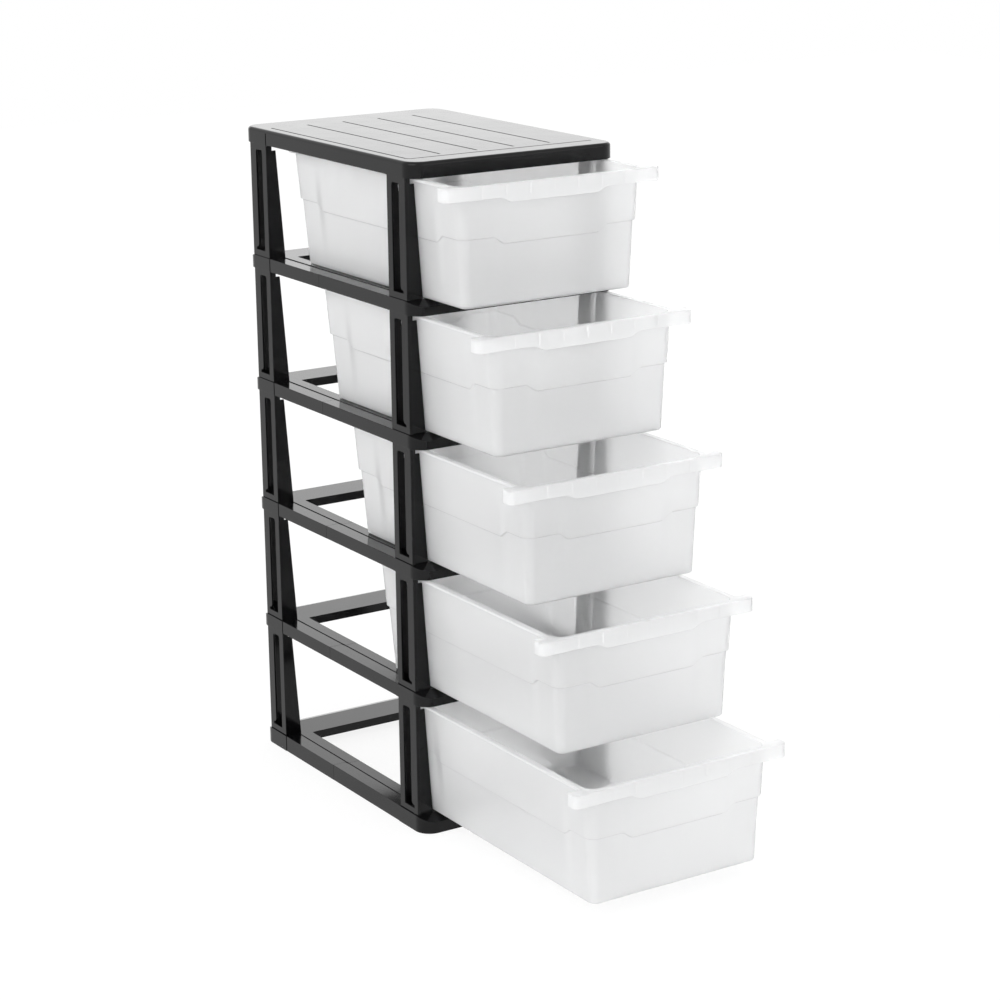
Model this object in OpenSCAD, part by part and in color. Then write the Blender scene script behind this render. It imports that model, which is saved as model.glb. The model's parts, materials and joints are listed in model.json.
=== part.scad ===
// Drawer tower for crafts and small parts: a black frame of stacked rings and
// posts, and translucent tub drawers that slide out to the front.
// Millimetres. X runs to the right seen from the front, -Y is the front, Z is up.
// The origin is the centre of the frame's footprint, on the floor.

/* [Frame] */
// Width of the frame over its side walls
frame_w = 277; // [270:1:300]
// Depth of the frame from front edge to rear edge
frame_d = 400; // [390:1:440]
// Radius of the frame's corners in plan
corner_r = 20; // [14:1:24]
// Thickness of the rings' outer wall
ring_wall = 2.5; // [2:0.1:3.5]
// Thickness of the rings' top deck
deck_t = 3; // [2:0.1:4]
// Height of the base ring
base_h = 20; // [18:1:26]
// Height of each shelf ring
ring_h = 16; // [15:0.5:20]
// Width of the side rails, outer wall to opening
side_rail_w = 35.5; // [32:0.5:40]
// Width of the front and rear rails, outer wall to opening
end_rail_w = 64; // [58:1:72]
// Height of the skirt round the opening
skirt_h = 10.5; // [8:0.5:12]
// Thickness of the skirt round the opening
skirt_t = 2; // [1.6:0.1:3]
// Length of the sloping strip at the front and rear edges
slope_len = 17; // [12:1:20]
// Drop of the sloping strip at the front and rear edges
slope_drop = 5.5; // [3:0.5:7]
// Height of the guide ridges beside the drawers
ridge_h = 0.8; // [0.4:0.1:1.2]
// Width of the guide ridges
ridge_w = 1.4; // [1:0.1:2.5]
// How far the walls lie back between the corners
wall_relief = 0.6; // [0.3:0.1:1]
// Place of the seam between front and rear half
seam_y = 19; // [10:1:30]
// How far the inner part of the seam steps to the front
seam_step = 4.5; // [3:0.5:8]
// Gap in the seam between the halves
seam_gap = 0.15; // [0.1:0.05:0.3]
// Length of the tongue that joins the halves
tongue_len = 14; // [10:1:20]

/* [Posts] */
// Clear height of each drawer bay
bay_h = 138.5; // [130:0.5:150]
// Depth of each post, front edge to rear edge
post_d = 40; // [36:1:46]
// Distance from the frame's front or rear edge to the post
post_setback = 16.5; // [14:0.5:20]
// Distance from the frame's side wall to the post
post_inset = 1.5; // [1:0.1:2]
// Thickness of the post's web and fins
post_t = 2.5; // [2:0.1:3]
// Size of the square bead on the post's outer edge
post_bead = 4.5; // [4:0.5:6]
// How far a fin lies back from the bead's face
fin_setback = 2; // [1:0.5:2]
// Reach of a fin from the post's outer face at the foot
fin_foot_w = 22; // [20:0.5:23]
// Reach of a fin from the post's outer face at the top
fin_top_w = 13.3; // [12:0.1:15]
// Width of the neck beside the drawer's rim
neck_w = 8; // [7:0.5:9]
// Height of the notch for the drawer's rim
rim_notch = 7.5; // [6:0.5:9]
// Width of the slot in the post's web
slot_w = 15.5; // [12:0.5:18]
// Distance from the post's rear edge to the slot
slot_back = 10.5; // [9:0.5:12]
// Distance from the post's ends to the slot
slot_end = 7.5; // [6:0.5:10]
// Thickness of the tongues on the post's ends
post_tongue_t = 2; // [1.6:0.1:2.4]
// Width of the tongues on the post's ends
post_tongue_w = 10; // [8:0.5:12]
// Depth of the foot tongue under the deck
foot_tongue = 5; // [3:0.5:8]

/* [Lid] */
// Height of the top panel
lid_h = 18.5; // [17:0.5:24]
// Radius of the top panel's upper edge
lid_edge_r = 4; // [2:0.5:6]
// Radius of the tool that cuts the panel's grooves
groove_r = 1.6; // [1:0.1:2]
// Depth of the panel's grooves
groove_depth = 0.8; // [0.4:0.1:1.2]
// Distance between neighbouring long grooves
groove_pitch = 49.5; // [44:0.5:52]
// Distance from the panel's front edge to the front groove
groove_margin = 31; // [28:1:40]

/* [Drawers] */
// Height of a drawer
drawer_h = 137.5; // [129:0.5:149]
// Length of the drawer's rim, front to rear
drawer_len = 352; // [340:1:360]
// Thickness of the drawer's walls
drawer_wall = 1.8; // [1.4:0.1:2.5]
// Thickness of the drawer's floor
drawer_floor = 2; // [1.6:0.1:3]
// Gap between a drawer's floor and the fins beside it
fin_gap = 2.2; // [1.8:0.1:4]
// Gap under a drawer
run_gap = 0.3; // [0.2:0.1:0.4]
// Gap between a drawer's rim and the necks beside it
neck_gap = 1; // [0.6:0.1:2]
// Outward lean of the side walls, per mm of height
side_draft = 0.052; // [0.04:0.001:0.055]
// Outward lean of the front and rear walls, per mm of height
end_draft = 0.035; // [0.02:0.001:0.04]
// Corner radius of the tub in plan
tub_r = 13; // [10:1:16]
// Distance from the rim's front edge to the foot of the front wall
front_overhang = 12.5; // [12:0.5:16]
// Distance from the rim's rear edge to the foot of the rear wall
rear_overhang = 12; // [12:0.5:16]
// Height of the stacking ledge at the corners
ledge_high = 78; // [70:1:90]
// Height of the stacking ledge along the sides
ledge_low = 69.5; // [60:0.5:70]
// Width of the stacking ledge
ledge_w = 2.4; // [1:0.1:2.6]
// Thickness of the rim
rim_t = 2; // [1.6:0.1:3]
// Depth of the lip under the side and rear rims
lip_h = 3.5; // [2.5:0.1:4.5]
// Half the width of the front flange
flange_half_w = 144; // [141:0.5:148]
// Depth of the front flange's wide ends
flange_d = 16; // [14:0.5:16]
// Corner radius of the front flange
flange_r = 8; // [6:0.5:10]
// Depth of the pull skirt at the ends
pull_end_h = 15.5; // [13:0.5:18]
// Depth of the pull skirt in the middle
pull_mid_h = 21.5; // [19:0.5:26]
// Length of each drawer that is not pulled out, from the top one down
held = [274, 211, 150, 91, 29];

/* [Hidden] */
$fn = 48;
BLACK = [0.08, 0.08, 0.085];
CLEAR = [0.93, 0.94, 0.95, 0.6];

tiers = 5;
fit = 0.3;                                   // clearance of every tongue in its slot
eps = 1;                                     // overshoot of cutting tools
tier_h = bay_h + ring_h;
lid_z = base_h + tiers * bay_h + (tiers - 1) * ring_h;
post_x = frame_w / 2 - post_inset;           // outer face of the posts
post_y = frame_d / 2 - post_setback;         // outer edge of the posts
open_w = frame_w - 2 * side_rail_w;
open_d = frame_d - 2 * end_rail_w;
tongue_x = frame_w / 2 - ring_wall - fit;    // outer face of the post tongues
foot_tongue_y = post_y - post_d / 2 - 10;    // centre of a post's foot tongue
head_tongue_y = post_y - post_d / 2 + 4;     // centre of a post's head tongue
seam_x = frame_w / 2 - side_rail_w / 2;      // where the seam steps
pad_y = post_y - post_d - 2;                 // where the corner pads end

// Drawer sizes that follow from the posts
tub_foot = post_x - fin_foot_w - fin_gap;    // half width of the drawer's foot
rim_half = post_x - neck_w - neck_gap;       // half width of the side rims
closed_y = -post_y - flange_d - 1;           // front edge of the rim, drawer closed
rim_r = 18;                                  // rear corner radius of the rim
foot_r = 2.5;                                // rounding of the foot, inside and out
end_wave_x = tub_foot - 52.8;                // where the ends' ledge starts to rise
front_wave_y = 62;                           // where the front corners' high ledge ends
rear_wave_y = drawer_len - 46;               // where the rear corners' high ledge starts
pull_wave_x = flange_half_w / 2;             // where the deep part of the pull skirt ends
wave_run = 16;                               // length over which a wave rises or falls

function ring_top(tier) = base_h + (tiers - tier) * tier_h;

// ---------- plan outlines ----------

// A rectangle with round corners, about the origin
module round_rect(w, d, r) {
    square([w - 2 * r, d], center = true);
    square([w, d - 2 * r], center = true);
    for (x = [-1, 1], y = [-1, 1]) {
        translate([x * (w / 2 - r), y * (d / 2 - r)]) circle(r);
    }
}

// A prism along X, whose profile lies in Y and Z
module along_x(len, profile) {
    translate([-len / 2, 0, 0]) rotate([90, 0, 90]) linear_extrude(len) polygon(profile);
}

// ---------- rings ----------

// Side view of a ring of height h, lowered by t, with the slopes at both ends
function ring_profile(h, t, foot) = let (e = frame_d / 2) [
    [-e, foot], [e, foot], [e, h - slope_drop - t], [e - slope_len, h - t],
    [-e + slope_len, h - t], [-e, h - slope_drop - t]];

// A whole ring: deck, outer wall and a skirt round the opening
module ring_shell(h) {
    difference() {
        intersection() {
            linear_extrude(h) round_rect(frame_w, frame_d, corner_r);
            along_x(frame_w + 2 * eps, ring_profile(h, 0, 0));
        }
        intersection() {
            translate([0, 0, -eps]) linear_extrude(h + eps) difference() {
                round_rect(frame_w - 2 * ring_wall, frame_d - 2 * ring_wall, corner_r - ring_wall);
                square([open_w + 2 * skirt_t, open_d + 2 * skirt_t], center = true);
            }
            along_x(frame_w + 2 * eps, ring_profile(h, deck_t, -eps));
        }
        translate([0, 0, -eps]) linear_extrude(h - skirt_h + eps)
            square([open_w + 2 * skirt_t + 0.02, open_d + 2 * skirt_t + 0.02], center = true);
        translate([0, 0, -eps]) linear_extrude(h + 2 * eps) round_rect(open_w, open_d, 3);
        for (x = [-1, 1]) {
            translate([x * frame_w / 2, 0, h / 2])
                cube([2 * wall_relief, 2 * pad_y, h + 2 * eps], center = true);
            for (y = [-1, 1]) foot_slot(x, y, h);
        }
    }
    for (x = [-1, 1]) {
        translate([x * (tub_foot + 6), 0, h + ridge_h / 2 - 0.1])
            cube([ridge_w, 2 * pad_y - 10, ridge_h + 0.2], center = true);
    }
}

// The slot in the deck that takes a post's foot tongue
module foot_slot(x, y, h) {
    translate([x * (tongue_x - post_tongue_t / 2), y * foot_tongue_y, h])
        cube([post_tongue_t + 2 * fit, post_tongue_w + 2 * fit, 3 * deck_t], center = true);
}

// Plan of the front half, up to the stepped seam; gap moves the seam to the front
module front_plan(gap) {
    e = frame_d;
    polygon([[-e, -e], [e, -e], [e, seam_y - gap], [seam_x, seam_y - gap],
        [seam_x, seam_y - seam_step - gap], [-seam_x, seam_y - seam_step - gap],
        [-seam_x, seam_y - gap], [-e, seam_y - gap]]);
}

module ring_front(h) {
    intersection() {
        ring_shell(h);
        translate([0, 0, -eps]) linear_extrude(h + 3 * eps) front_plan(seam_gap);
    }
}

// The rear half carries a tongue on each side, which lies under the front half's deck
module ring_rear(h) {
    difference() {
        ring_shell(h);
        translate([0, 0, -2 * eps]) linear_extrude(h + 5 * eps) front_plan(0);
    }
    for (x = [-1, 1]) {
        translate([x * seam_x, seam_y - tongue_len / 2 + 1, h - deck_t - 1.2])
            cube([side_rail_w - 16, tongue_len * 2, 2], center = true);
        translate([x * seam_x, seam_y + tongue_len / 2, h - deck_t - 0.4])
            cube([side_rail_w - 16, tongue_len - 4, 1.2], center = true);
    }
}

module ring_at(tier, front) {
    h = tier == tiers ? base_h : ring_h;
    color(BLACK) translate([0, 0, ring_top(tier) - h]) {
        if (front) ring_front(h);
        else ring_rear(h);
    }
}

// ---------- posts ----------

// Outline of a fin in X and Z, from the post's outer face inwards
fin_profile = [[0, 0], [fin_foot_w, 0], [fin_top_w, bay_h - rim_notch],
    [neck_w, bay_h - rim_notch], [neck_w, bay_h], [0, bay_h]];

module fin(y) {
    translate([0, y + post_t, 0]) rotate([90, 0, 0]) linear_extrude(post_t) polygon(fin_profile);
}

// The long slot in the web: round top corners and a foot that widens to the front
module web_slot() {
    r = 3;
    top = bay_h - slot_end;
    y = post_d - slot_back - slot_w;
    translate([-eps, y, slot_end]) cube([post_t + 2 * eps, slot_w, top - r - slot_end]);
    translate([-eps, y + r, top - r - eps]) cube([post_t + 2 * eps, slot_w - 2 * r, r + eps]);
    for (k = [y + r, y + slot_w - r]) {
        translate([-eps, k, top - r]) rotate([0, 90, 0]) cylinder(r = r, h = post_t + 2 * eps);
    }
    translate([-eps, y, slot_end]) rotate([90, 0, 90]) linear_extrude(post_t + 2 * eps)
        polygon([[-6, 0], [1, 0], [1, 7], [0, 7], [-2, 4], [-6, 3]]);
}

// A left front post, with its outer front corner at the origin
module post_body() {
    difference() {
        cube([post_t, post_d, bay_h]);
        web_slot();
    }
    cube([post_bead, post_bead, bay_h]);
    fin(fin_setback);
    fin(post_d - post_t);
}

module post_at(tier, left, front) {
    head = (tier == 1 ? lid_h : ring_h) - deck_t - fit;
    color(BLACK) translate([0, 0, ring_top(tier)]) mirror([left ? 0 : 1, 0, 0])
        mirror([0, front ? 0 : 1, 0]) {
            translate([-post_x, -post_y, 0]) post_body();
            for (t = [[foot_tongue_y, -deck_t - foot_tongue, 6], [head_tongue_y, bay_h - 6, bay_h + head]]) {
                translate([-tongue_x, -t[0] - post_tongue_w / 2, t[1]])
                    cube([post_tongue_t, post_tongue_w, t[2] - t[1]]);
            }
        }
}

// ---------- top panel ----------

// A closed block with round corners and a round upper edge
module lid_block() {
    r = lid_edge_r;
    linear_extrude(lid_h - r) round_rect(frame_w, frame_d, corner_r);
    linear_extrude(lid_h) round_rect(frame_w - 2 * r, frame_d - 2 * r, corner_r - r);
    for (x = [-1, 1]) {
        translate([x * (frame_w / 2 - r), 0, lid_h - r]) rotate([90, 0, 0])
            cylinder(r = r, h = frame_d - 2 * corner_r, center = true);
    }
    for (y = [-1, 1]) {
        translate([0, y * (frame_d / 2 - r), lid_h - r]) rotate([0, 90, 0])
            cylinder(r = r, h = frame_w - 2 * corner_r, center = true);
    }
    for (x = [-1, 1], y = [-1, 1]) {
        translate([x * (frame_w / 2 - corner_r), y * (frame_d / 2 - corner_r), lid_h - r])
            rotate_extrude() translate([corner_r - r, 0]) circle(r);
    }
}

// The grooves: five run from front to rear, and the left one turns along the front
module lid_grooves() {
    z = lid_h - groove_depth + groove_r;
    y_front = -frame_d / 2 + groove_margin;
    turn_r = 6;
    x_left = -2.5 * groove_pitch;
    y_rear = frame_d / 2 - groove_margin - 17;
    for (k = [0:4]) {
        x = x_left + k * groove_pitch;
        y0 = y_front + (k == 0 ? turn_r : 13);
        translate([x, y0, z]) rotate([-90, 0, 0]) cylinder(r = groove_r, h = y_rear - y0);
    }
    translate([x_left + turn_r, y_front, z]) rotate([0, 90, 0])
        cylinder(r = groove_r, h = -2 * x_left - turn_r);
    translate([x_left + turn_r, y_front + turn_r, z]) rotate([0, 0, 180])
        rotate_extrude(angle = 90) translate([turn_r, 0]) circle(groove_r);
}

module top_panel() {
    color(BLACK) translate([0, 0, lid_z]) difference() {
        lid_block();
        translate([0, 0, -eps]) linear_extrude(lid_h - deck_t + eps)
            round_rect(frame_w - 2 * ring_wall, frame_d - 2 * ring_wall, corner_r - ring_wall);
        lid_grooves();
        for (x = [-1, 1]) {
            translate([x * frame_w / 2, 0, lid_h / 2 - lid_edge_r])
                cube([2 * wall_relief, 2 * pad_y, lid_h], center = true);
        }
    }
}

// ---------- drawers ----------
// A drawer is one closed surface: every level holds the same stations round the
// tub, so that each level is stitched to the next. Local origin: rim's front
// edge in Y, centre in X, foot in Z.

// Places along the straight sides, as shares; they crowd where the edges wave
end_shares = [-1, -0.79, -0.73, -0.67, -0.61, -0.55, -0.28, 0,
    0.28, 0.55, 0.61, 0.67, 0.73, 0.79, 1];
side_shares = [0, 0.05, 0.07, 0.09, 0.11, 0.13, 0.4, 0.7, 0.91, 0.93, 0.95, 0.97, 1];
front_turn = [for (k = [1:7]) k / 8];
rear_turn = [for (k = [1:5]) k / 6];

function arc(c, r, a0, a1, t) = let (a = a0 + (a1 - a0) * t) [c.x + r * cos(a), c.y + r * sin(a)];
function smooth(t) = let (u = min(1, max(0, t))) u * u * (3 - 2 * u);
function reversed(v) = [for (k = [len(v) - 1:-1:0]) v[k]];

// Stations of a round rectangle: half width w, from y = f to y = b, radius r
function tub_plan(w, f, b, r) = concat(
    [for (s = end_shares) [s * (w - r), f]],
    [for (t = front_turn) arc([w - r, f + r], r, -90, 0, t)],
    [for (s = side_shares) [w, f + r + s * (b - f - 2 * r)]],
    [for (t = rear_turn) arc([w - r, b - r], r, 0, 90, t)],
    [for (s = reversed(end_shares)) [s * (w - r), b]],
    [for (t = rear_turn) arc([r - w, b - r], r, 90, 180, t)],
    [for (s = reversed(side_shares)) [-w, f + r + s * (b - f - 2 * r)]],
    [for (t = front_turn) arc([r - w, f + r], r, 180, 270, t)]);

// One front end of the rim, from the front edge round the flange to the side rim
function flange_turn(e) = let (w = flange_half_w, r = flange_r) [
    arc([w - r, r], r - e, -90, 0, 1 / 3),
    arc([w - r, r], r - e, -90, 0, 2 / 3),
    arc([w - r, r], r - e, -90, 0, 1),
    [w - e, flange_d - 1.5 - e],
    [w - 1.5 - e, flange_d - e],
    [rim_half + 2 - e, flange_d - e],
    [rim_half - e, flange_d + 2 - e]];

// Stations of the rim's outline, moved in by e, with the flange's wide ends
function rim_plan(e) = let (w = rim_half, f = flange_d + 5, b = drawer_len - rim_r) concat(
    [for (s = end_shares) [s * (flange_half_w - flange_r), e]],
    flange_turn(e),
    [for (s = side_shares) [w - e, f + s * (b - f)]],
    [for (t = rear_turn) arc([w - rim_r, b], rim_r - e, 0, 90, t)],
    [for (s = reversed(end_shares)) [s * (w - rim_r), drawer_len - e]],
    [for (t = rear_turn) arc([rim_r - w, b], rim_r - e, 90, 180, t)],
    [for (s = reversed(side_shares)) [e - w, f + s * (b - f)]],
    [for (p = reversed(flange_turn(e))) [-p.x, p.y]]);

// Tub outline at height z, moved in by e; out is 1 above the ledge and 0 below
function tub_level(z, e, out) = tub_plan(
    tub_foot + side_draft * z + out * ledge_w - e,
    front_overhang - end_draft * z - out * ledge_w + e,
    drawer_len - rear_overhang + end_draft * z + out * ledge_w - e,
    tub_r + out * ledge_w / 2 - e / 2);

// Height of the ledge at a station: high at the corners, low along the sides
function ledge_z(p) = let (
    x_wave = smooth((abs(p.x) - end_wave_x) / wave_run),
    y_wave = smooth(max(front_wave_y - p.y, p.y - rear_wave_y) / wave_run),
    on_end = p.y < front_overhang + 1 || p.y > drawer_len - rear_overhang - 1)
    ledge_low + (ledge_high - ledge_low) * (on_end ? x_wave : y_wave);

// Depth of the rim's edge at a station: a deep pull skirt in front, a lip elsewhere
function edge_h(p) = p.y < flange_d - 0.5
    ? pull_end_h + (pull_mid_h - pull_end_h) * smooth((pull_wave_x - abs(p.x)) / wave_run)
    : p.y < flange_d + 1 && abs(p.x) > rim_half + 1 ? pull_end_h : lip_h;

// Outer and inner faces just below and above the ledge, at each station's own height
function ledge_level(e, up, out) = let (flat_plan = tub_level(ledge_low, e, 0)) [
    for (k = [0:len(flat_plan) - 1])
        let (z = ledge_z(tub_level(0, 0, 0)[k]) + up, p = tub_level(z, e, out)[k]) [p.x, p.y, z]];

function at_z(plan, z) = [for (p = plan) [p.x, p.y, z]];
function at_edge(plan) = let (ref = rim_plan(0))
    [for (k = [0:len(plan) - 1]) [plan[k].x, plan[k].y, drawer_h - edge_h(ref[k])]];

function drawer_levels() = [
    at_z(tub_level(0, foot_r, 0), 0),
    at_z(tub_level(0, 0.7, 0), 0.7),
    at_z(tub_level(foot_r, 0, 0), foot_r),
    ledge_level(0, -0.8, 0),
    ledge_level(0, 0.8, 1),
    at_z(tub_level(drawer_h, 0, 1), drawer_h - rim_t),
    at_z(rim_plan(drawer_wall), drawer_h - rim_t),
    at_edge(rim_plan(drawer_wall)),
    at_edge(rim_plan(0)),
    at_z(rim_plan(0), drawer_h - 0.8),
    at_z(rim_plan(0.8), drawer_h),
    at_z(tub_level(drawer_h, drawer_wall, 1), drawer_h),
    ledge_level(drawer_wall, 0.8, 1),
    ledge_level(drawer_wall, -0.8, 0),
    at_z(tub_level(foot_r, drawer_wall, 0), drawer_floor + foot_r),
    at_z(tub_level(0, drawer_wall + foot_r, 0), drawer_floor)];

module drawer_tub() {
    levels = drawer_levels();
    n = len(levels[0]);
    m = len(levels);
    walls = [for (j = [0:m - 2], k = [0:n - 1]) let (i = (k + 1) % n)
        each [[j * n + k, (j + 1) * n + k, (j + 1) * n + i], [j * n + k, (j + 1) * n + i, j * n + i]]];
    under = [for (k = [0:n - 1]) [m * n, k, (k + 1) % n]];
    inside = [for (k = [0:n - 1]) [m * n + 1, (m - 1) * n + (k + 1) % n, (m - 1) * n + k]];
    mid = drawer_len / 2;
    polyhedron(concat([for (level = levels) each level], [[0, mid, 0], [0, mid, drawer_floor]]),
        concat(walls, under, inside));
}

module drawer(tier) {
    pull = drawer_len - held[tier - 1];
    color(CLEAR) translate([0, closed_y - pull, ring_top(tier) + run_gap]) drawer_tub();
}

// ---------- the nodes ----------

top_panel();
ring_at(1, true);  // ring_1_front
ring_at(1, false);  // ring_1_rear
ring_at(2, true);  // ring_2_front
ring_at(2, false);  // ring_2_rear
ring_at(3, true);  // ring_3_front
ring_at(3, false);  // ring_3_rear
ring_at(4, true);  // ring_4_front
ring_at(4, false);  // ring_4_rear
ring_at(5, true);  // base_ring_front
ring_at(5, false);  // base_ring_rear
post_at(1, true, true);  // post_1_front_left
post_at(1, false, true);  // post_1_front_right
post_at(1, true, false);  // post_1_rear_left
post_at(1, false, false);  // post_1_rear_right
post_at(2, true, true);  // post_2_front_left
post_at(2, false, true);  // post_2_front_right
post_at(2, true, false);  // post_2_rear_left
post_at(2, false, false);  // post_2_rear_right
post_at(3, true, true);  // post_3_front_left
post_at(3, false, true);  // post_3_front_right
post_at(3, true, false);  // post_3_rear_left
post_at(3, false, false);  // post_3_rear_right
post_at(4, true, true);  // post_4_front_left
post_at(4, false, true);  // post_4_front_right
post_at(4, true, false);  // post_4_rear_left
post_at(4, false, false);  // post_4_rear_right
post_at(5, true, true);  // post_5_front_left
post_at(5, false, true);  // post_5_front_right
post_at(5, true, false);  // post_5_rear_left
post_at(5, false, false);  // post_5_rear_right
drawer(1);  // drawer_1
drawer(2);  // drawer_2
drawer(3);  // drawer_3
drawer(4);  // drawer_4
drawer(5);  // drawer_5
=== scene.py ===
# %% [markdown]
# # A plastic drawer tower
#
# Five milky tub drawers slide out of a glossy black frame of rings and posts. The
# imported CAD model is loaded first. It gives the places of all the pieces, the shapes
# of the frame, and the drawers' width and height. The drawers' length and the lean of
# their rear wall were measured from the photograph, which shows them longer than the
# model has them. This lesson softens the frame's edges, makes the drawers as surfaces
# worked out with numpy, and lights everything on white.

# %% Load the frame
import json
import math

import bmesh
import bpy
import numpy as np
from mathutils import Matrix, Vector


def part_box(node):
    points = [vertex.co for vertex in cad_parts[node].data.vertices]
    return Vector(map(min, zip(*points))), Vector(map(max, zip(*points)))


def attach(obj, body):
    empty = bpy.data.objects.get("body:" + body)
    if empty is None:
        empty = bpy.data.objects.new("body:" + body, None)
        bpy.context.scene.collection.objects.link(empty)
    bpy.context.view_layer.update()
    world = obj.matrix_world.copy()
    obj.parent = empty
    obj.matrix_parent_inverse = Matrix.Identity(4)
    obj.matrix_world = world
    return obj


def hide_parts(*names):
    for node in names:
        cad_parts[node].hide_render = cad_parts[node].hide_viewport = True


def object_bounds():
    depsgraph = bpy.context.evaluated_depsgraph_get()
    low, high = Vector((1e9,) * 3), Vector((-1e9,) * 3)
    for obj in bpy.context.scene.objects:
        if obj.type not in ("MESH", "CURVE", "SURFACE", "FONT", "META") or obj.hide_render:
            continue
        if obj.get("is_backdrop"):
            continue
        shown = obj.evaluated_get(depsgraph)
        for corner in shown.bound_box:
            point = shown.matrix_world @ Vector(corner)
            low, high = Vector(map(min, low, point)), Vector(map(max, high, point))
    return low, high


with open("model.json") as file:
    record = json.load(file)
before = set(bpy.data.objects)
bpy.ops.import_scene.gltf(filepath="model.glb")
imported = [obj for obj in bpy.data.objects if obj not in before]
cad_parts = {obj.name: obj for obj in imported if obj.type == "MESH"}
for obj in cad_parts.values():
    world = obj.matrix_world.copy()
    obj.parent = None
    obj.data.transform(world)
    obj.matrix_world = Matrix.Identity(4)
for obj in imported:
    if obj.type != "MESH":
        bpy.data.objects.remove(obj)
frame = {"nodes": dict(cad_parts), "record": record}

scene = bpy.context.scene
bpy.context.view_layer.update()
MM = 0.001

# %% [markdown]
# ## The camera
#
# The photograph was taken from the left and a little above, from a little over three
# metres away, with a long lens, which keeps the upright edges nearly parallel. A
# camera can be aimed at a target and nudged by eye. Here its place and its three
# angles were worked out from edges measured in the photograph, which brings the rings
# and the lid within a few pixels of it.

# %% The camera
CAMERA_PLACE = Vector((-1.63905, -2.72517, 1.22565))
CAMERA_AZIMUTH = -32.547
CAMERA_HEIGHT_ANGLE = 15.523
CAMERA_ROLL = -0.686
LENS_PER_FRAME = 2.6811
SENSOR = 36.0
FURTHEST_SEEN = 30


def camera_turn(azimuth, height_angle, roll):
    """Rotation whose -Z looks down by height_angle from azimuth, then rolls about its own axis."""
    a, e, r = (math.radians(v) for v in (azimuth, height_angle, roll))
    back = Vector((math.sin(a) * math.cos(e), -math.cos(a) * math.cos(e), math.sin(e)))
    right = (-back).cross(Vector((0, 0, 1))).normalized()
    up = back.cross(right)
    level = Matrix((right, up, back)).transposed()
    return (level @ Matrix.Rotation(r, 3, "Z")).to_euler()


camera = bpy.data.objects.new("camera", bpy.data.cameras.new("camera"))
camera.location = CAMERA_PLACE
camera.rotation_euler = camera_turn(CAMERA_AZIMUTH, CAMERA_HEIGHT_ANGLE, CAMERA_ROLL)
camera.data.sensor_width = SENSOR
camera.data.lens = SENSOR * LENS_PER_FRAME
camera.data.clip_end = FURTHEST_SEEN
scene.collection.objects.link(camera)
scene.camera = camera
print("lens", round(camera.data.lens, 1), "mm")

# %% [markdown]
# ## Helpers for shader nodes
#
# A material is a small graph. These helpers make a graph with a Principled shader,
# a noise that reads Object coordinates, and a bump that lays fine relief over it.
# Object coordinates stay with the piece, so a pattern never slides when it moves.
# Noise seldom leaves the middle of its range, so only that part is spread out.

# %% Shader helpers
NOISE_LOW, NOISE_HIGH = 0.35, 0.65


def new_material(name):
    """A material with nodes; gives the material, its node tree and its Principled shader."""
    material = bpy.data.materials.new(name)
    material.use_nodes = True
    return material, material.node_tree, material.node_tree.nodes["Principled BSDF"]


def object_noise(tree, scale, detail=3.0, stretch=(1, 1, 1)):
    """Noise on Object coordinates, stretched by a Mapping node."""
    place = tree.nodes.new("ShaderNodeTexCoord")
    mapping = tree.nodes.new("ShaderNodeMapping")
    mapping.inputs["Scale"].default_value = stretch
    noise = tree.nodes.new("ShaderNodeTexNoise")
    noise.inputs["Scale"].default_value = scale
    noise.inputs["Detail"].default_value = detail
    tree.links.new(place.outputs["Object"], mapping.inputs["Vector"])
    tree.links.new(mapping.outputs["Vector"], noise.inputs["Vector"])
    return noise.outputs["Fac"]


def ramp(tree, value, low, high):
    """Spreads a noise between two colours or two grey levels."""
    node = tree.nodes.new("ShaderNodeMix")
    node.data_type = "RGBA"
    spread = tree.nodes.new("ShaderNodeMapRange")
    spread.inputs["From Min"].default_value = NOISE_LOW
    spread.inputs["From Max"].default_value = NOISE_HIGH
    tree.links.new(value, spread.inputs["Value"])
    tree.links.new(spread.outputs["Result"], node.inputs["Factor"])
    node.inputs["A"].default_value = low
    node.inputs["B"].default_value = high
    return node.outputs["Result"]


def grey(level):
    """A grey colour with full alpha."""
    return (level, level, level, 1)


def bump(tree, height, distance, strength):
    """A bump of the given depth in metres."""
    node = tree.nodes.new("ShaderNodeBump")
    node.inputs["Strength"].default_value = strength
    node.inputs["Distance"].default_value = distance
    tree.links.new(height, node.inputs["Height"])
    return node.outputs["Normal"]


# %% [markdown]
# ## Black moulded plastic
#
# The frame is polypropylene from a polished mould. It is nearly black, and most of
# what is seen is the white room in its gloss: little on the upright faces, much on
# the decks, which are seen at a grazing angle. One flat black would look like paint.
# The mould leaves a faint ripple, and handling leaves slightly duller patches, so
# the colour, the roughness and the relief each follow a noise of their own.

# %% Black plastic
BLACK_LOW = (0.0025, 0.0025, 0.0028, 1)
BLACK_HIGH = (0.005, 0.005, 0.0053, 1)
POLISHED, HANDLED = 0.11, 0.15
TINT_SCALE, PATCH_SCALE, RIPPLE_SCALE = 9, 28, 35
PATCH_DETAIL, RIPPLE_DETAIL = 5, 1
RIPPLE_DEPTH, RIPPLE_STRENGTH = 0.2 * MM, 0.1
BLACK_IOR, BLACK_SPECULAR = 1.46, 0.26


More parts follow.
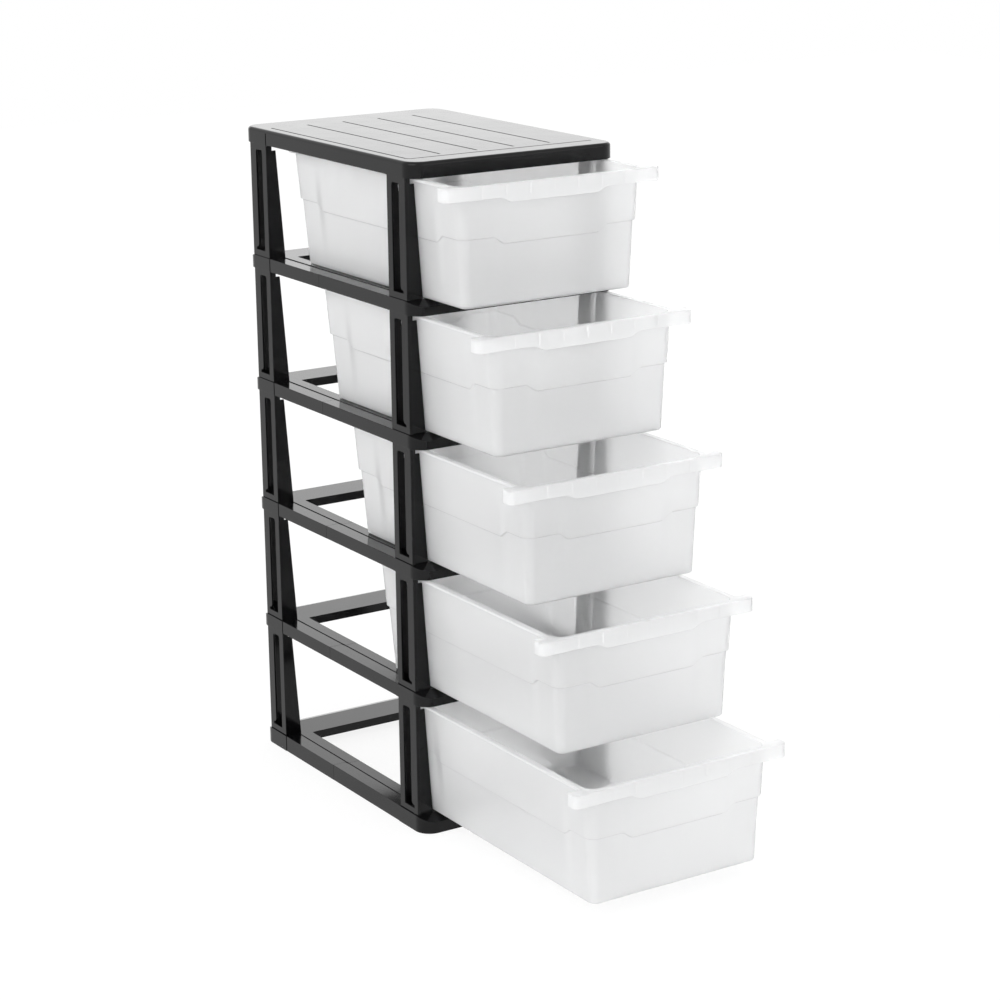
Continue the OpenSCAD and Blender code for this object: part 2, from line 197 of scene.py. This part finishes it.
def black_plastic():
    """Gloss black with a slow ripple and patches of duller gloss."""
    material, tree, shader = new_material("frame_plastic")
    tint = ramp(tree, object_noise(tree, TINT_SCALE), BLACK_LOW, BLACK_HIGH)
    patches = ramp(tree, object_noise(tree, PATCH_SCALE, PATCH_DETAIL),
                   grey(POLISHED), grey(HANDLED))
    ripple = object_noise(tree, RIPPLE_SCALE, RIPPLE_DETAIL)
    tree.links.new(tint, shader.inputs["Base Color"])
    tree.links.new(patches, shader.inputs["Roughness"])
    tree.links.new(bump(tree, ripple, RIPPLE_DEPTH, RIPPLE_STRENGTH), shader.inputs["Normal"])
    shader.inputs["IOR"].default_value = BLACK_IOR
    shader.inputs["Specular IOR Level"].default_value = BLACK_SPECULAR
    return material


BLACK = black_plastic()
print(BLACK.name, len(BLACK.node_tree.nodes), "shader nodes")

# %% [markdown]
# ## Milky drawer plastic
#
# The drawers are unpigmented polypropylene. Light passes, but it scatters, so a post
# behind a wall is a soft grey shape and not a clear one. Subsurface scattering would
# hide the post altogether. A rough transmission works with the real walls of 1.8 mm:
# each wall blurs a little more. The index of refraction is lower than the real one,
# because light that is mirrored inside so many thin walls would turn them grey, and a
# thin coat brings back the gloss. Flow marks from the mould run up the walls as a
# slow change of roughness. The ribs get less transmission, so they read as lines.

# %% Milky plastic
MILKY_LOW = (0.97, 0.972, 0.975, 1)
MILKY_HIGH = (0.99, 0.992, 0.994, 1)
CLEARER, CLOUDIER = 0.60, 0.70
CLOUD_SCALE, FLOW_SCALE, WAVINESS_SCALE = 7, 12, 22
CLOUD_DETAIL, FLOW_DETAIL, WAVINESS_DETAIL = 2, 4, 1
FLOW_STRETCH = (1, 1, 0.3)
WAVINESS_DEPTH, WAVINESS_STRENGTH = 0.1 * MM, 0.1
MILKY_IOR = 1.15
COAT, COAT_ROUGHNESS = 0.4, 0.18
WALL_CLEAR, RIB_CLEAR = 0.64, 0.1


def milky_plastic(name, clear):
    """Rough transmission over white, with flow marks in roughness and a slow waviness."""
    material, tree, shader = new_material(name)
    cloud = ramp(tree, object_noise(tree, CLOUD_SCALE, CLOUD_DETAIL), MILKY_LOW, MILKY_HIGH)
    flow = ramp(tree, object_noise(tree, FLOW_SCALE, FLOW_DETAIL, FLOW_STRETCH),
                grey(CLEARER), grey(CLOUDIER))
    waves = object_noise(tree, WAVINESS_SCALE, WAVINESS_DETAIL)
    tree.links.new(cloud, shader.inputs["Base Color"])
    tree.links.new(flow, shader.inputs["Roughness"])
    tree.links.new(bump(tree, waves, WAVINESS_DEPTH, WAVINESS_STRENGTH), shader.inputs["Normal"])
    shader.inputs["Transmission Weight"].default_value = clear
    shader.inputs["IOR"].default_value = MILKY_IOR
    shader.inputs["Coat Weight"].default_value = COAT
    shader.inputs["Coat Roughness"].default_value = COAT_ROUGHNESS
    return material


MILKY = milky_plastic("drawer_plastic", WALL_CLEAR)
RIB_WHITE = milky_plastic("rib_plastic", RIB_CLEAR)
print(MILKY.name, "and", RIB_WHITE.name, len(MILKY.node_tree.nodes), "shader nodes each")

# %% [markdown]
# ## Softened frame pieces
#
# A moulded edge is never sharp: it has a radius of about half a millimetre, and that
# radius is where a black object catches the light. The CAD nodes have the right shape
# with sharp edges and loose triangles. Each one is copied and merged, its flat faces
# are joined, and a Bevel modifier rounds the edges that turn by more than 30 degrees.
# Smooth shading alone would bend the light across the big flat faces too. A Weighted
# Normal modifier keeps those flat, so that only the narrow rounds are shaded round.

# %% Soften the frame
EDGE_RADIUS = 0.6 * MM
EDGE_STEPS = 2
SHARP_ANGLE = math.radians(30)
FLAT_ANGLE = math.radians(0.6)
SAME_POINT = 1e-6
LARGE_FACE_WEIGHT = 100


def merged_copy(source, name):
    """A copy of a CAD node with its doubles merged and its flat faces joined."""
    mesh = bpy.data.meshes.new(name)
    work = bmesh.new()
    work.from_mesh(source.data)
    bmesh.ops.remove_doubles(work, verts=work.verts, dist=SAME_POINT)
    bmesh.ops.dissolve_limit(work, angle_limit=FLAT_ANGLE, verts=work.verts, edges=work.edges)
    work.to_mesh(mesh)
    work.free()
    return mesh


def softened(node, body, material):
    """The node's shape with rounded edges, riding on its body and standing for the node."""
    piece = bpy.data.objects.new(node + "_moulded", merged_copy(frame["nodes"][node], node))
    scene.collection.objects.link(piece)
    piece.data.materials.append(material)
    rounding = piece.modifiers.new("moulded_edges", "BEVEL")
    rounding.width = EDGE_RADIUS
    rounding.segments = EDGE_STEPS
    rounding.limit_method = "ANGLE"
    rounding.angle_limit = SHARP_ANGLE
    rounding.use_clamp_overlap = True
    even = piece.modifiers.new("even_faces", "WEIGHTED_NORMAL")
    even.keep_sharp = True
    even.weight = LARGE_FACE_WEIGHT
    piece.data.polygons.foreach_set("use_smooth", [True] * len(piece.data.polygons))
    piece.data.set_sharp_from_angle(angle=SHARP_ANGLE)
    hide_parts(node)
    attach(piece, body)
    return piece


frame_nodes = frame["record"]["behaviour"]["bodies"]["frame"]
frame_pieces = [softened(node, "frame", BLACK) for node in frame_nodes]
print(len(frame_pieces), "frame pieces")

# %% [markdown]
# ## The drawer as one surface
#
# A real drawer is one shot of plastic: walls, ledge, rim and pull skirt are a single
# skin. It could be joined from boxes, but their seams would show in the milky walls.
# Here every part of it is a level: a ring of stations round the tub at some height.
# Stitching each level to the next gives the whole drawer, inside and outside. Its
# points are measured from below the middle of the rim's front edge, at the height of
# the drawer's underside, and y runs to the rear.

# %% Drawer sizes
drawer_low, drawer_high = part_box("drawer_1")
DRAWER_HEIGHT = drawer_high.z - drawer_low.z
FLANGE_HALF = (drawer_high.x - drawer_low.x) / 2

# Measured in the photograph, where the drawer is longer than the node, which has
# 352 mm: the rim's length, the lean of the rear wall, and how far the rim stands out
# past that wall's foot
RIM_LENGTH = 395 * MM
REAR_LEAN, REAR_OVERHANG = 0.1, 25.5 * MM

# The tub: half width and corner radius at the foot, and how much the other walls lean
# outwards and the corners open for a unit of height
TUB_HALF, TUB_RADIUS = 112.8 * MM, 9 * MM
SIDE_LEAN, FRONT_LEAN = 0.052, 0.035
CORNER_OPENING = 0.035
WALL, FLOOR, FOOT_RADIUS = 1.8 * MM, 2 * MM, 2.5 * MM

# The rim: how far it stands out past the foot of the front wall, and its own outline
FRONT_OVERHANG = 12.5 * MM
RIM_HALF, RIM_RADIUS, RIM_THICKNESS = 128 * MM, 18 * MM, 2 * MM
TOP_EDGE_RADIUS, MOUTH_EDGE_RADIUS = 0.9 * MM, 0.8 * MM

# The flange across the front: its depth, its front and back corners, the hollow
# where it meets a side rim, and where that rim runs straight
FLANGE_DEPTH = 16 * MM
FLANGE_RADIUS, FLANGE_BACK_RADIUS, HOLLOW_RADIUS = 8 * MM, 2 * MM, 3 * MM
STRAIGHT_RIM_START = FLANGE_DEPTH + 5 * MM
print("drawer", round(RIM_LENGTH, 4), round(FLANGE_HALF, 4), round(DRAWER_HEIGHT, 4))

# %% [markdown]
# ## Stations round a level
#
# Two levels can only be stitched if station 17 of one belongs to station 17 of the
# next. So both outlines, the tub's (a rectangle with round corners) and the rim's
# (the same, with two wide ends in front), are walked in the same order: front wall,
# corner, right wall, corner, rear wall, corner, left wall, corner. A wall has as many
# stations in one outline as in the other, and so has a corner.

# %% Stations round a level
END_STEPS, SIDE_STEPS, TURN_STEPS = 61, 121, 16
across = np.linspace(-1, 1, END_STEPS)
along = np.linspace(-1, 1, SIDE_STEPS)
corner_shares = np.arange(1, TURN_STEPS + 1) / (TURN_STEPS + 1)
ones = np.ones(TURN_STEPS)


def line(xs, ys):
    """Points from two coordinates, either of which may be one number."""
    return np.stack(np.broadcast_arrays(np.asarray(xs, float), np.asarray(ys, float)), -1)


def arc(centre_x, centre_y, radius, start, end, shares=corner_shares):
    """Points on a circle: centre plus radius times (cos, sin) of an angle from start to end."""
    a = np.radians(start + (end - start) * shares)
    return line(centre_x + radius * np.cos(a), centre_y + radius * np.sin(a))


# Which way each station of the tub lies from the middle
REACH = np.concatenate([
    line(across, -1), line(ones, -1),
    line(1, along), line(ones, 1),
    line(-across, 1), line(-ones, 1),
    line(-1, -along), line(-ones, -1)])

# Which way each station faces, from the centre of its corner's round
BULGE = np.concatenate([
    line(0 * across, -1), arc(0, 0, 1, -90, 0),
    line(1, 0 * along), arc(0, 0, 1, 0, 90),
    line(0 * across, 1), arc(0, 0, 1, 90, 180),
    line(-1, 0 * along), arc(0, 0, 1, 180, 270)])
print(len(REACH), "stations round a level")

# %% [markdown]
# ## The outlines of tub and rim
#
# The tub's outline is worked out in one line from reach and bulge. The rim's is put
# together from lines and arcs. The turn at each end of the flange takes the place of
# a corner, so its three arcs have as many points as one corner of the tub.

# %% Outlines
FRONT_TURN = np.arange(1, 9) / 8
SMALL_TURN = np.arange(4) / 3


def tub_plan(half, front, rear, radius):
    """Middle + reach * (half size - radius) + radius * bulge: a rectangle with round corners."""
    x = REACH[:, 0] * (half - radius) + radius * BULGE[:, 0]
    y = (front + rear) / 2 + REACH[:, 1] * ((rear - front) / 2 - radius) + radius * BULGE[:, 1]
    return line(x, y)


def flange_turn(inset):
    """From the front edge round one wide end of the flange, into the hollow at the side rim."""
    front = arc(FLANGE_HALF - FLANGE_RADIUS, FLANGE_RADIUS,
                FLANGE_RADIUS - inset, -90, 0, FRONT_TURN)
    back = arc(FLANGE_HALF - FLANGE_BACK_RADIUS, FLANGE_DEPTH - FLANGE_BACK_RADIUS,
               FLANGE_BACK_RADIUS - inset, 0, 90, SMALL_TURN)
    hollow = arc(RIM_HALF + HOLLOW_RADIUS, FLANGE_DEPTH + HOLLOW_RADIUS,
                 HOLLOW_RADIUS + inset, 270, 180, SMALL_TURN)
    return np.concatenate([front, back, hollow])


def rim_plan(inset):
    """The rim's outline moved in by inset: narrow along the sides, wide at the front."""
    start, end = STRAIGHT_RIM_START, RIM_LENGTH - RIM_RADIUS
    side_y = (start + end) / 2 + along * (end - start) / 2
    corner = flange_turn(inset)
    rear_x = RIM_HALF - RIM_RADIUS
    return np.concatenate([
        line(across * (FLANGE_HALF - FLANGE_RADIUS), inset), corner,
        line(RIM_HALF - inset, side_y), arc(rear_x, end, RIM_RADIUS - inset, 0, 90),
        line(-across * rear_x, RIM_LENGTH - inset), arc(-rear_x, end, RIM_RADIUS - inset, 90, 180),
        line(inset - RIM_HALF, side_y[::-1]), corner[::-1] * [-1, 1]])


print(len(rim_plan(0)), "stations round the rim")

# %% [markdown]
# ## Waves along the edges
#
# Two edges of a drawer are not level. The stacking ledge sits higher at the corners
# than along the sides, and the pull skirt is deeper in the middle than at its ends.
# A wave could be bent into the mesh afterwards. It is simpler to give each station
# its own height, with a smooth step that starts and ends without a kink.

# %% Ledge and skirt heights
LEDGE_LOW, LEDGE_HIGH, LEDGE = 69.5 * MM, 78 * MM, 2.4 * MM
LIP, PULL_END, PULL_MID = 3.5 * MM, 15.5 * MM, 21.5 * MM
END_WAVE_X, FRONT_WAVE_Y, REAR_WAVE = 60 * MM, 62 * MM, 84 * MM
PULL_WAVE_X, WAVE_RUN = 72 * MM, 16 * MM
NEAR = 1 * MM


def smooth_step(value):
    """0 below 0, 1 above 1, and an S in between."""
    t = np.clip(value, 0, 1)
    return t * t * (3 - 2 * t)


def tub_at(height, inset, out):
    """The tub's plan at a height; out moves it onto the ledge, from 0 to 1."""
    return tub_plan(
        TUB_HALF + SIDE_LEAN * height + out * LEDGE - inset,
        FRONT_OVERHANG - FRONT_LEAN * height - out * LEDGE + inset,
        RIM_LENGTH - REAR_OVERHANG + REAR_LEAN * height + out * LEDGE - inset,
        TUB_RADIUS + CORNER_OPENING * height + out * LEDGE / 2 - inset / 2)


def ledge_heights():
    """The ledge's height at each station: high near the corners, low between them."""
    x, y = tub_at(0, 0, 0).T
    on_end = np.abs(BULGE[:, 1]) == 1
    end_wave = smooth_step((np.abs(x) - END_WAVE_X) / WAVE_RUN)
    side_wave = smooth_step(np.maximum(FRONT_WAVE_Y - y, y - RIM_LENGTH + REAR_WAVE) / WAVE_RUN)
    return LEDGE_LOW + (LEDGE_HIGH - LEDGE_LOW) * np.where(on_end, end_wave, side_wave)


def edge_depths():
    """How far the rim's edge hangs down at each station: the pull skirt, or a lip elsewhere."""
    x, y = rim_plan(0).T
    skirt = PULL_END + (PULL_MID - PULL_END) * smooth_step((PULL_WAVE_X - np.abs(x)) / WAVE_RUN)
    in_front = y < FLANGE_DEPTH - NEAR / 2
    on_back = (y < FLANGE_DEPTH + NEAR) & (np.abs(x) > RIM_HALF + NEAR)
    return np.where(in_front, skirt, np.where(on_back, PULL_END, LIP))


def at_height(plan, height):
    """A level: a plan with its heights, one number or one for each station."""
    return np.column_stack([plan, np.broadcast_to(height, len(plan))])


def ledge_level(inset, rise, out):
    """The stations of the tub at the ledge's own height plus rise."""
    heights = ledge_heights() + rise
    return at_height(tub_at(heights, inset, out), heights)


print("ledge from", round(ledge_heights().min(), 4), "to", round(ledge_heights().max(), 4))
print("skirt down to", round(edge_depths().max(), 4))

# %% [markdown]
# ## From levels to a mesh
#
# The levels run from the foot up the outside, out under the rim, down and up round
# the skirt, over the top and down the inside. A Solidify modifier could give the
# wall its thickness, but not the hollow skirt, so the inside has levels of its own.
# An edge with a radius is a few levels on a quarter circle. The floor is closed with
# a fan of triangles on its underside and another on top.

# %% Levels of the drawer
QUARTER = np.radians(np.array([0, 22.5, 45, 67.5, 90]))

# The ledge's S, from below: millimetres above its middle, and the share of its width
LEDGE_STEPS = ((-1.2, 0), (-0.6, 0.12), (0, 0.5), (0.6, 0.88), (1.2, 1))

# The fillet under the rim: millimetres out from the wall, and down from the rim
FILLET = ((0, 1.0), (0.3, 0.3), (1.0, 0))
SKIRT_EDGE_INSIDE, SKIRT_EDGE_OUTSIDE = 0.5 * MM, 0.4 * MM


def foot_levels(radius, base, inset):
    """The rounded foot of the wall: a quarter circle from the floor up into the wall."""
    return [at_height(tub_at(radius * (1 - math.cos(a)), inset + radius * (1 - math.sin(a)), 0),
                      base + radius * (1 - math.cos(a))) for a in QUARTER]


def rim_edge_levels(radius):
    """The rounded outer top edge of the rim: a quarter circle up and inwards."""
    return [at_height(rim_plan(radius * (1 - math.cos(a))),
                      DRAWER_HEIGHT - radius * (1 - math.sin(a))) for a in QUARTER]


def mouth_levels(radius):
    """The rounded inner top edge, a quarter circle which turns down into the inner wall."""
    return [at_height(tub_at(DRAWER_HEIGHT, WALL - radius * (1 - math.sin(a)), 1),
                      DRAWER_HEIGHT - radius * (1 - math.cos(a))) for a in QUARTER]


def skirt_levels(under):
    """From the fillet under the rim out to the skirt, down its inside and round its foot."""
    foot = DRAWER_HEIGHT - edge_depths()
    fillet = [at_height(tub_at(DRAWER_HEIGHT, -out * MM, 1), under - down * MM)
              for out, down in FILLET]
    return fillet + [
        at_height(rim_plan(WALL), under),
        at_height(rim_plan(WALL), foot + SKIRT_EDGE_INSIDE),
        at_height(rim_plan(WALL - SKIRT_EDGE_INSIDE), foot),
        at_height(rim_plan(SKIRT_EDGE_OUTSIDE), foot),
        at_height(rim_plan(0), foot + SKIRT_EDGE_OUTSIDE)]


def drawer_levels():
    """All levels of the skin, outside first, then over the rim and down the inside."""
    outside = [ledge_level(0, rise * MM, out) for rise, out in LEDGE_STEPS]
    inside = [ledge_level(WALL, rise * MM, out) for rise, out in reversed(LEDGE_STEPS)]
    return (
        foot_levels(FOOT_RADIUS, 0, 0) + outside
        + skirt_levels(DRAWER_HEIGHT - RIM_THICKNESS)
        + rim_edge_levels(TOP_EDGE_RADIUS) + mouth_levels(MOUTH_EDGE_RADIUS)
        + inside + foot_levels(FOOT_RADIUS, FLOOR, WALL)[::-1])


levels = drawer_levels()
print(len(levels), "levels")

# %% [markdown]
# ## Stitching
#
# Between two levels, station k and its neighbour make a quad with the same two
# stations of the level above. The numbers of all these corners are worked out as one
# array, because a Python loop over thousands of faces would be slow and harder to
# read.

# %% Stitch the drawer's skin


def stitch(levels):
    """Vertices and faces of the closed skin: quads between levels, a fan on each floor."""
    count, rings = len(levels[0]), len(levels)
    k = np.arange(count)
    after = np.roll(k, -1)
    starts = np.arange(rings - 1)[:, None] * count
    quads = np.stack([starts + k, starts + after,
                      starts + count + after, starts + count + k], -1).reshape(-1, 4)
    below, above = rings * count, rings * count + 1
    last = (rings - 1) * count
    foot = np.stack([np.full(count, below), after, k], 1)
    floor = np.stack([np.full(count, above), last + k, last + after], 1)
    middle = RIM_LENGTH / 2
    points = np.concatenate(levels + [np.array([[0, middle, 0], [0, middle, FLOOR]])])
    return points, quads.tolist() + foot.tolist() + floor.tolist()


skin_points, skin_faces = stitch(levels)
print("drawer skin", len(skin_points), "points", len(skin_faces), "faces")

# %% [markdown]
# ## Ribs behind the pull skirt
#
# Thin upright ribs tie the skirt to the wall, so that a full drawer can be pulled by
# it. On the real drawer they show through the milky skirt as bright lines. They could
# be levels of the skin too, at the price of a far finer grid, so each one is a plate
# of its own. It reaches a quarter of a millimetre through the skirt, so that it
# catches the light, and a little way into the wall, so that no gap is left.

# %% Rib plates
RIB_PITCH = 31.7 * MM
RIB_THICKNESS = 1.4 * MM
RIB_DEPTH = 13.2 * MM
RIB_SLANT = 1.5 * MM
RIB_PROUD = 0.25 * MM
RIB_BITE = 0.4
RIB_PLACES = np.arange(-3, 4) * RIB_PITCH


def rib_plates():
    """Seven plates, each a side outline at x minus and plus half its thickness.

    The outline runs from skirt to wall, and its foot slants down towards the wall.
    """
    top = DRAWER_HEIGHT - RIM_THICKNESS / 2
    front = -RIB_PROUD
    back = FRONT_OVERHANG - FRONT_LEAN * DRAWER_HEIGHT - LEDGE + WALL * RIB_BITE
    side = np.array([[front, top - RIB_DEPTH], [back, top - RIB_DEPTH - RIB_SLANT],
                     [back, top], [front, top]])
    points, faces = [], []
    for x in RIB_PLACES:
        base = len(points) * 4
        for edge in (-0.5, 0.5):
            points.append(np.column_stack([np.full(4, x + edge * RIB_THICKNESS), side]))
        faces += [[base + 3, base + 2, base + 1, base], [base + 4, base + 5, base + 6, base + 7]]
        faces += [[base + k, base + (k + 1) % 4, base + 4 + (k + 1) % 4, base + 4 + k]
                  for k in range(4)]
    return np.concatenate(points), faces


rib_points, rib_faces = rib_plates()
print(len(RIB_PLACES), "ribs", len(rib_faces), "faces")

# %% [markdown]
# ## Place the five drawers
#
# All drawers come from one mould, and each is pulled out by its own length. Moving
# an object would do, but a piece that rides on a body keeps its origin at zero and
# has its place in its mesh. So each drawer's points are shifted to the front edge of
# the node that it stands for. The drawer is longer than that node, at the rear only.

# %% Place the five drawers
CREASE_ANGLE = math.radians(40)
DRAWERS = sorted(name for name in frame["nodes"] if name.startswith("drawer_"))


def placed(name, points, faces, offset, material, smooth):
    """A mesh object at the origin whose vertices are already in place, with outward faces."""
    mesh = bpy.data.meshes.new(name)
    mesh.from_pydata((points + offset).tolist(), [], faces)
    work = bmesh.new()
    work.from_mesh(mesh)
    bmesh.ops.recalc_face_normals(work, faces=work.faces)
    work.to_mesh(mesh)
    work.free()
    if smooth:
        mesh.polygons.foreach_set("use_smooth", [True] * len(mesh.polygons))
        mesh.set_sharp_from_angle(angle=CREASE_ANGLE)
    mesh.materials.append(material)
    piece = bpy.data.objects.new(name, mesh)
    scene.collection.objects.link(piece)
    return piece


for name in DRAWERS:
    low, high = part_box(name)
    offset = np.array([(low.x + high.x) / 2, low.y, low.z])
    tub = placed(name + "_tub", skin_points, skin_faces, offset, MILKY, True)
    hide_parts(name)
    ribs = placed(name + "_ribs", rib_points, rib_faces, offset, RIB_WHITE, False)
    for piece in (tub, ribs):
        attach(piece, name)
print("drawers", DRAWERS)

# %% [markdown]
# ## The floor
#
# The product stands on white. A white floor under plain light would come out grey,
# and stronger light would wash out the drawers. So the floor glows almost white to
# the camera, and to rays that mirror off the gloss or pass through the drawers, while
# the light that it throws back on the tower is that of plain white card. A little
# shaded white is added to the glow, so that the tower keeps a soft shadow.

# %% The floor
FLOOR_SIZE = 12.0
FLOOR_DROP = 0.5 * MM
SHOWN_WHITE = 0.86
SHADED_WHITE = 0.16
BOUNCE_WHITE = 0.75


def seen_directly(tree):
    """1 for rays from the camera, from gloss and through clear pieces; 0 for scattered light."""
    path = tree.nodes.new("ShaderNodeLightPath")
    total = path.outputs["Is Camera Ray"]
    for other in ("Is Glossy Ray", "Is Transmission Ray"):
        most = tree.nodes.new("ShaderNodeMath")
        most.operation = "MAXIMUM"
        tree.links.new(total, most.inputs[0])
        tree.links.new(path.outputs[other], most.inputs[1])
        total = most.outputs[0]
    return total


def floor_material():
    """White that is shown as it is, plus a little that takes the shadow."""
    material = bpy.data.materials.new("floor_white")
    material.use_nodes = True
    tree = material.node_tree
    tree.nodes.remove(tree.nodes["Principled BSDF"])
    output = tree.nodes["Material Output"]
    shown = tree.nodes.new("ShaderNodeEmission")
    shown.inputs["Strength"].default_value = SHOWN_WHITE
    shaded = tree.nodes.new("ShaderNodeBsdfDiffuse")
    shaded.inputs["Color"].default_value = grey(SHADED_WHITE)
    bounce = tree.nodes.new("ShaderNodeBsdfDiffuse")
    bounce.inputs["Color"].default_value = grey(BOUNCE_WHITE)
    both = tree.nodes.new("ShaderNodeAddShader")
    pick = tree.nodes.new("ShaderNodeMixShader")
    tree.links.new(shown.outputs[0], both.inputs[0])
    tree.links.new(shaded.outputs[0], both.inputs[1])
    tree.links.new(seen_directly(tree), pick.inputs[0])
    tree.links.new(bounce.outputs[0], pick.inputs[1])
    tree.links.new(both.outputs[0], pick.inputs[2])
    tree.links.new(pick.outputs[0], output.inputs["Surface"])
    return material


half = FLOOR_SIZE / 2
floor_mesh = bpy.data.meshes.new("floor")
floor_mesh.from_pydata(
    [(-half, -half, 0), (half, -half, 0), (half, half, 0), (-half, half, 0)], [], [(0, 1, 2, 3)])
floor_mesh.materials.append(floor_material())
floor_piece = bpy.data.objects.new("floor", floor_mesh)
scene.collection.objects.link(floor_piece)
floor_piece.location.z = -FLOOR_DROP
floor_piece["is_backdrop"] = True
print("floor", FLOOR_SIZE, "m square")

# %% [markdown]
# ## The room
#
# White walls all round would be the real thing. A plain white world gives the same
# even light and the same white behind the tower, and the gloss mirrors it.

# %% The room
ROOM_LIGHT = 1.0
world = bpy.data.worlds.new("room")
scene.world = world
world.use_nodes = True
background = world.node_tree.nodes["Background"]
background.inputs["Color"].default_value = grey(1)
background.inputs["Strength"].default_value = ROOM_LIGHT
print("room light", ROOM_LIGHT)

# %% [markdown]
# ## Lamps
#
# Product photographs are lit with large soft boxes. The strongest lamp stands at the
# left, on the side that the camera sees. A weak one in front lightens the shade
# between the drawers, and a wide one behind shines through the milky walls. An area
# lamp's power is spread over its panel, so it is worked out from a brightness.

# %% Lamps
TOWER_MIDDLE, UPPER_MIDDLE = (0, -0.05, 0.4), (0, 0, 0.6)

# Name, place, what it looks at, width and height, brightness
LAMPS = (
    ("key_light", (-2.6, -1.2, 2.0), TOWER_MIDDLE, (2.6, 2.2), 1.9),
    ("fill_light", (1.3, -3.2, 1.4), TOWER_MIDDLE, (2.0, 2.0), 0.6),
    ("back_light", (1.5, 2.8, 1.45), UPPER_MIDDLE, (4.6, 1.7), 0.65),
)


def soft_lamp(name, place, target, size, brightness):
    """A soft panel that looks at a point; its power is brightness times pi times its area."""
    lamp = bpy.data.objects.new(name, bpy.data.lights.new(name, "AREA"))
    lamp.data.shape = "RECTANGLE"
    lamp.data.size, lamp.data.size_y = size
    lamp.data.energy = brightness * math.pi * size[0] * size[1]
    lamp.visible_camera = False
    lamp.location = place
    lamp.rotation_euler = (Vector(target) - Vector(place)).to_track_quat("-Z", "Y").to_euler()
    scene.collection.objects.link(lamp)
    return lamp


for lamp in [soft_lamp(*values) for values in LAMPS]:
    print(lamp.name, round(lamp.data.energy, 1), "W")

# %% [markdown]
# ## The view and the shown size
#
# The Standard view shows a colour as it was written. The box of what is shown now, without the
# floor, is worked out at the end.

# %% The view and the shown size
scene.view_settings.view_transform = "Standard"
low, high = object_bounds()
